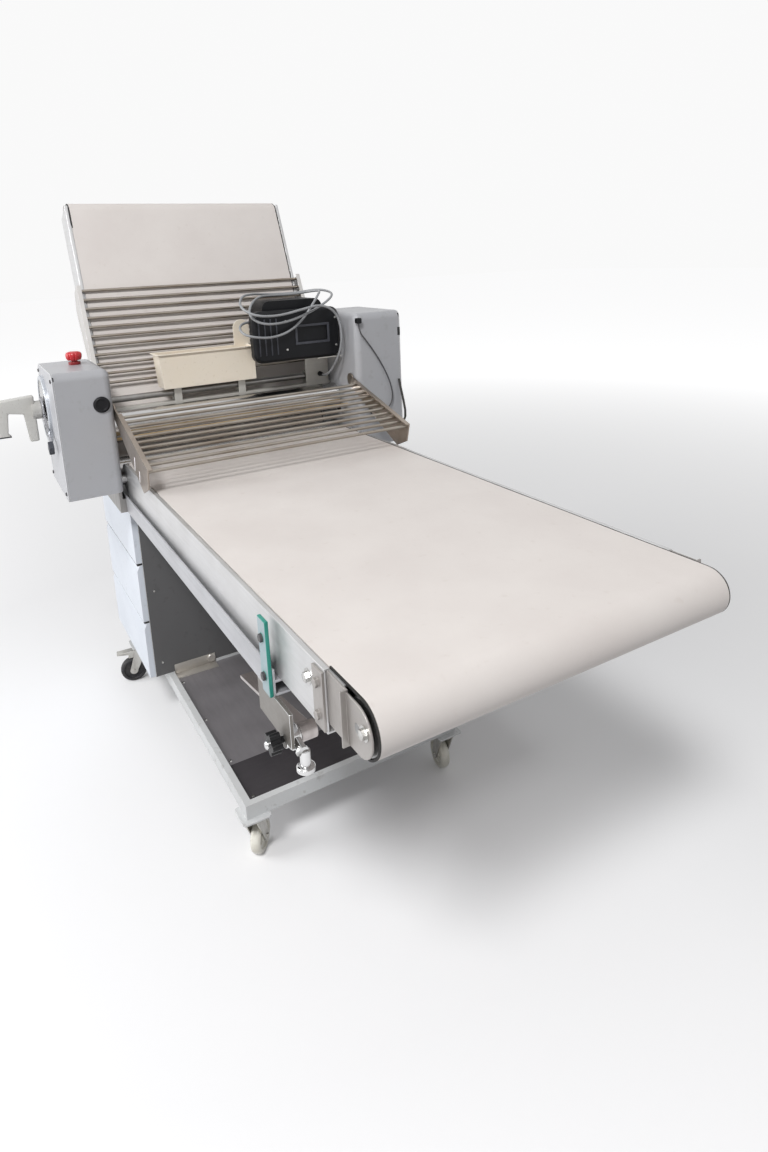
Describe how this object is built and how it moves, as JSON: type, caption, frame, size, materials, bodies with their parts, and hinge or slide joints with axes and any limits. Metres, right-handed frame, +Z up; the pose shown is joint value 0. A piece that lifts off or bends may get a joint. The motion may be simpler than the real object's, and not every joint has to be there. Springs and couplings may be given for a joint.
{
  "type": "dough sheeter",
  "caption": "Floor-standing dough sheeter with two folding belt tables, rod guards, a roller head with gap handle, and a castored stand with drawers, shelf and foot switch.",
  "frame": {"origin": "on the floor, under the axis of the sheeting rollers, midway between the housings", "axes": "+X along the front table, away from the rollers; -Y to the operator's side; +Z up"},
  "size_m": [1.8075, 1.1053, 1.4833],
  "materials": {
    "housing_paint": "satin light grey paint",
    "stand_paint": "satin grey paint",
    "drawer_paint": "satin pale blue-grey paint",
    "plate_steel": "bright rolled steel",
    "roller_steel": "ground and polished",
    "rod_steel": "worn drawn steel",
    "rail_aluminium": "mill finish",
    "drum_aluminium": "turned",
    "belt_cloth": "coated cotton belt",
    "dial_black": "gloss black",
    "handle_grey": "painted casting",
    "trim_black": "matte black",
    "estop_red": "gloss red",
    "scraper_beige": "worn beige plastic",
    "tray_cream": "cream paint",
    "switch_black": "moulded black",
    "cord_grey": "grey sheath",
    "lead_dark": "dark sheath",
    "stop_paint": "turquoise paint",
    "arm_steel": "bright steel",
    "motor_grey": "painted casting",
    "bush_bronze": "plain bronze",
    "fork_steel": "zinc plated",
    "wheel_white": "translucent white nylon",
    "wheel_black": "black rubber",
    "shelf_grey": "grey paint, worn"
  },
  "bodies": {
    "stand": {"base_frame": "stand_paint", "table_beams": "rail_aluminium", "lower_shelf": "shelf_grey", "drawer_cabinet": "stand_paint", "head_plates": "plate_steel", "bridge_cover": "rail_aluminium", "left_housing": "housing_paint", "left_cover": "housing_paint", "right_housing": "housing_paint", "right_cover": "housing_paint", "gap_dial": "dial_black", "blanking_plug": "trim_black", "estop_collar": "estop_red", "front_scraper": "scraper_beige", "roller_bearings": "bush_bronze", "drive_motor": "motor_grey", "foot_switch_base": "switch_black", "foot_switch_hood": "switch_black", "foot_switch_cord": "cord_grey", "guard_lead": "lead_dark", "cord_glands": "trim_black", "table_stop_bar": "stop_paint", "arm_hanger": "arm_steel"},
    "front_table": {"front_frame": "rail_aluminium", "front_nose_plates": "plate_steel", "front_belt": "belt_cloth"},
    "front_guard": {"front_guard_frame": "plate_steel", "front_guard_rods": "rod_steel"},
    "front_drive_roller": {"front_drive_roller": "drum_aluminium"},
    "front_nose_roller": {"front_nose_roller": "drum_aluminium"},
    "rear_table": {"rear_frame": "rail_aluminium", "rear_nose_plates": "plate_steel", "rear_belt": "belt_cloth"},
    "rear_guard": {"rear_guard_frame": "plate_steel", "rear_guard_rods": "rod_steel"},
    "rear_drive_roller": {"rear_drive_roller": "drum_aluminium"},
    "rear_nose_roller": {"rear_nose_roller": "drum_aluminium"},
    "flour_tray": {"flour_tray": "tray_cream"},
    "lower_roller": {"lower_roller": "roller_steel"},
    "upper_roller": {"upper_roller": "roller_steel"},
    "roller_carriers": {"roller_carriers": "plate_steel"},
    "gap_stop": {"gap_stop": "arm_steel"},
    "estop_button": {"estop_button": "estop_red"},
    "bottom_drawer": {"bottom_drawer": "drawer_paint"},
    "middle_drawer": {"middle_drawer": "drawer_paint"},
    "top_drawer": {"top_drawer": "drawer_paint"},
    "treadle": {"treadle": "switch_black"},
    "swing_arm": {"swing_arm": "arm_steel"},
    "clamp_knob": {"clamp_knob": "trim_black"},
    "brake_lever": {"brake_lever": "fork_steel"},
    "front_left_fork": {"front_left_fork": "fork_steel"},
    "front_left_wheel": {"front_left_wheel": "wheel_white"},
    "front_right_fork": {"front_right_fork": "fork_steel"},
    "front_right_wheel": {"front_right_wheel": "wheel_white"},
    "rear_left_fork": {"rear_left_fork": "fork_steel"},
    "rear_left_wheel": {"rear_left_wheel": "wheel_black"},
    "rear_right_fork": {"rear_right_fork": "fork_steel"},
    "rear_right_wheel": {"rear_right_wheel": "wheel_black"},
    "gap_handle": {"gap_handle": "handle_grey", "gap_shaft": "plate_steel"}
  },
  "joints": [
    {"name": "front_fold", "type": "hinge", "parent": "stand", "child": "front_table", "pos_m": [0.09, 0, 0.76], "axis": [0, -1, 0], "range_deg": [0, 68]},
    {"name": "front_guard_lift", "type": "hinge", "parent": "stand", "child": "front_guard", "pos_m": [0.1, 0, 0.945], "axis": [0, -1, 0], "range_deg": [0, 81.6]},
    {"name": "rear_fold", "type": "hinge", "parent": "stand", "child": "rear_table", "pos_m": [-0.09, 0, 0.76], "axis": [0, -1, 0], "range_deg": [0, 68]},
    {"name": "rear_guard_lower", "type": "hinge", "parent": "stand", "child": "rear_guard", "pos_m": [-0.1, 0, 0.945], "axis": [0, -1, 0], "range_deg": [0, 81.6]},
    {"name": "lower_roller_spin", "type": "hinge", "parent": "stand", "child": "lower_roller", "pos_m": [0, 0, 0.762], "axis": [0, 1, 0], "continuous": true},
    {"name": "upper_roller_spin", "type": "hinge", "parent": "roller_carriers", "child": "upper_roller", "pos_m": [0, 0, 0.881], "axis": [0, 1, 0], "continuous": true},
    {"name": "front_drive_spin", "type": "hinge", "parent": "front_table", "child": "front_drive_roller", "pos_m": [0.09, 0, 0.76], "axis": [0, 1, 0], "continuous": true},
    {"name": "front_nose_spin", "type": "hinge", "parent": "front_table", "child": "front_nose_roller", "pos_m": [1.344, 0, 0.76], "axis": [0, 1, 0], "continuous": true},
    {"name": "rear_drive_spin", "type": "hinge", "parent": "rear_table", "child": "rear_drive_roller", "pos_m": [-0.09, 0, 0.76], "axis": [0, 1, 0], "continuous": true},
    {"name": "rear_nose_spin", "type": "hinge", "parent": "rear_table", "child": "rear_nose_roller", "pos_m": [-0.36608, 0, 1.44334], "axis": [0, 1, 0], "continuous": true},
    {"name": "gap_turn", "type": "hinge", "parent": "stand", "child": "gap_handle", "pos_m": [-0.061, -0.48, 0.945], "axis": [0, -1, 0], "range_deg": [-155.5, 44.5]},
    {"name": "carrier_slide", "type": "slide", "parent": "stand", "child": "roller_carriers", "axis": [0, 0, 1], "range_m": [-0.0346, 0.0099]},
    {"name": "gap_stop_turn", "type": "hinge", "parent": "stand", "child": "gap_stop", "pos_m": [-0.061, -0.49, 0.945], "axis": [0, -1, 0], "range_deg": [-90, 120]},
    {"name": "estop_press", "type": "slide", "parent": "stand", "child": "estop_button", "axis": [0, 0, -1], "range_m": [0, 0.004], "stiffness_N_per_m": 800},
    {"name": "bottom_drawer_slide", "type": "slide", "parent": "stand", "child": "bottom_drawer", "axis": [0, -1, 0], "range_m": [0, 0.38]},
    {"name": "middle_drawer_slide", "type": "slide", "parent": "stand", "child": "middle_drawer", "axis": [0, -1, 0], "range_m": [0, 0.38]},
    {"name": "top_drawer_slide", "type": "slide", "parent": "stand", "child": "top_drawer", "axis": [0, -1, 0], "range_m": [0, 0.38]},
    {"name": "treadle_press", "type": "hinge", "parent": "stand", "child": "treadle", "pos_m": [0.004, 0.203, 1.15], "axis": [0, -1, 0], "range_deg": [0, 6], "stiffness_Nm_per_rad": 4},
    {"name": "arm_swing", "type": "hinge", "parent": "stand", "child": "swing_arm", "pos_m": [1.132, -0.305, 0.624], "axis": [0, -1, 0], "range_deg": [-12, 77]},
    {"name": "knob_turn", "type": "hinge", "parent": "stand", "child": "clamp_knob", "pos_m": [1.132, -0.356, 0.624], "axis": [0, -1, 0], "range_deg": [-180, 180]},
    {"name": "tray_lift", "type": "slide", "parent": "stand", "child": "flour_tray", "axis": [0, 0, 1], "range_m": [0, 0.06]},
    {"name": "front_left_swivel", "type": "hinge", "parent": "stand", "child": "front_left_fork", "pos_m": [0.674, -0.257, 0.12], "axis": [0, 0, 1], "continuous": true},
    {"name": "front_left_roll", "type": "hinge", "parent": "front_left_fork", "child": "front_left_wheel", "pos_m": [0.65102, -0.23772, 0.04], "axis": [-0.6428, -0.766, 0], "continuous": true},
    {"name": "front_right_swivel", "type": "hinge", "parent": "stand", "child": "front_right_fork", "pos_m": [0.674, 0.257, 0.12], "axis": [0, 0, 1], "continuous": true},
    {"name": "front_right_roll", "type": "hinge", "parent": "front_right_fork", "child": "front_right_wheel", "pos_m": [0.64446, 0.26221, 0.04], "axis": [-0.1736, -0.9848, 0], "continuous": true},
    {"name": "rear_left_swivel", "type": "hinge", "parent": "stand", "child": "rear_left_fork", "pos_m": [-0.23, -0.292, 0.12], "axis": [0, 0, 1], "continuous": true},
    {"name": "rear_left_roll", "type": "hinge", "parent": "rear_left_fork", "child": "rear_left_wheel", "pos_m": [-0.23521, -0.32154, 0.04], "axis": [0.9848, -0.1736, 0], "continuous": true},
    {"name": "brake_press", "type": "hinge", "parent": "rear_left_fork", "child": "brake_lever", "pos_m": [-0.23208, -0.30382, 0.0987], "axis": [0.9848, -0.1736, 0], "range_deg": [0, 6]},
    {"name": "rear_right_swivel", "type": "hinge", "parent": "stand", "child": "rear_right_fork", "pos_m": [-0.23, 0.292, 0.12], "axis": [0, 0, 1], "continuous": true},
    {"name": "rear_right_roll", "type": "hinge", "parent": "rear_right_fork", "child": "rear_right_wheel", "pos_m": [-0.25598, 0.307, 0.04], "axis": [-0.5, -0.866, 0], "continuous": true}
  ],
  "couplings": [
    {"joint": "front_guard_lift", "follows": "front_fold", "ratio": 1.2},
    {"joint": "rear_guard_lower", "follows": "rear_fold", "ratio": 1.2},
    {"joint": "upper_roller_spin", "follows": "lower_roller_spin", "ratio": -1},
    {"joint": "front_drive_spin", "follows": "lower_roller_spin", "ratio": 1.05},
    {"joint": "front_nose_spin", "follows": "lower_roller_spin", "ratio": 1.05},
    {"joint": "rear_drive_spin", "follows": "lower_roller_spin", "ratio": 1.05},
    {"joint": "rear_nose_spin", "follows": "lower_roller_spin", "ratio": 1.05},
    {"joint": "gap_turn", "follows": "carrier_slide", "rad_per_m": 78.431}
  ]
}
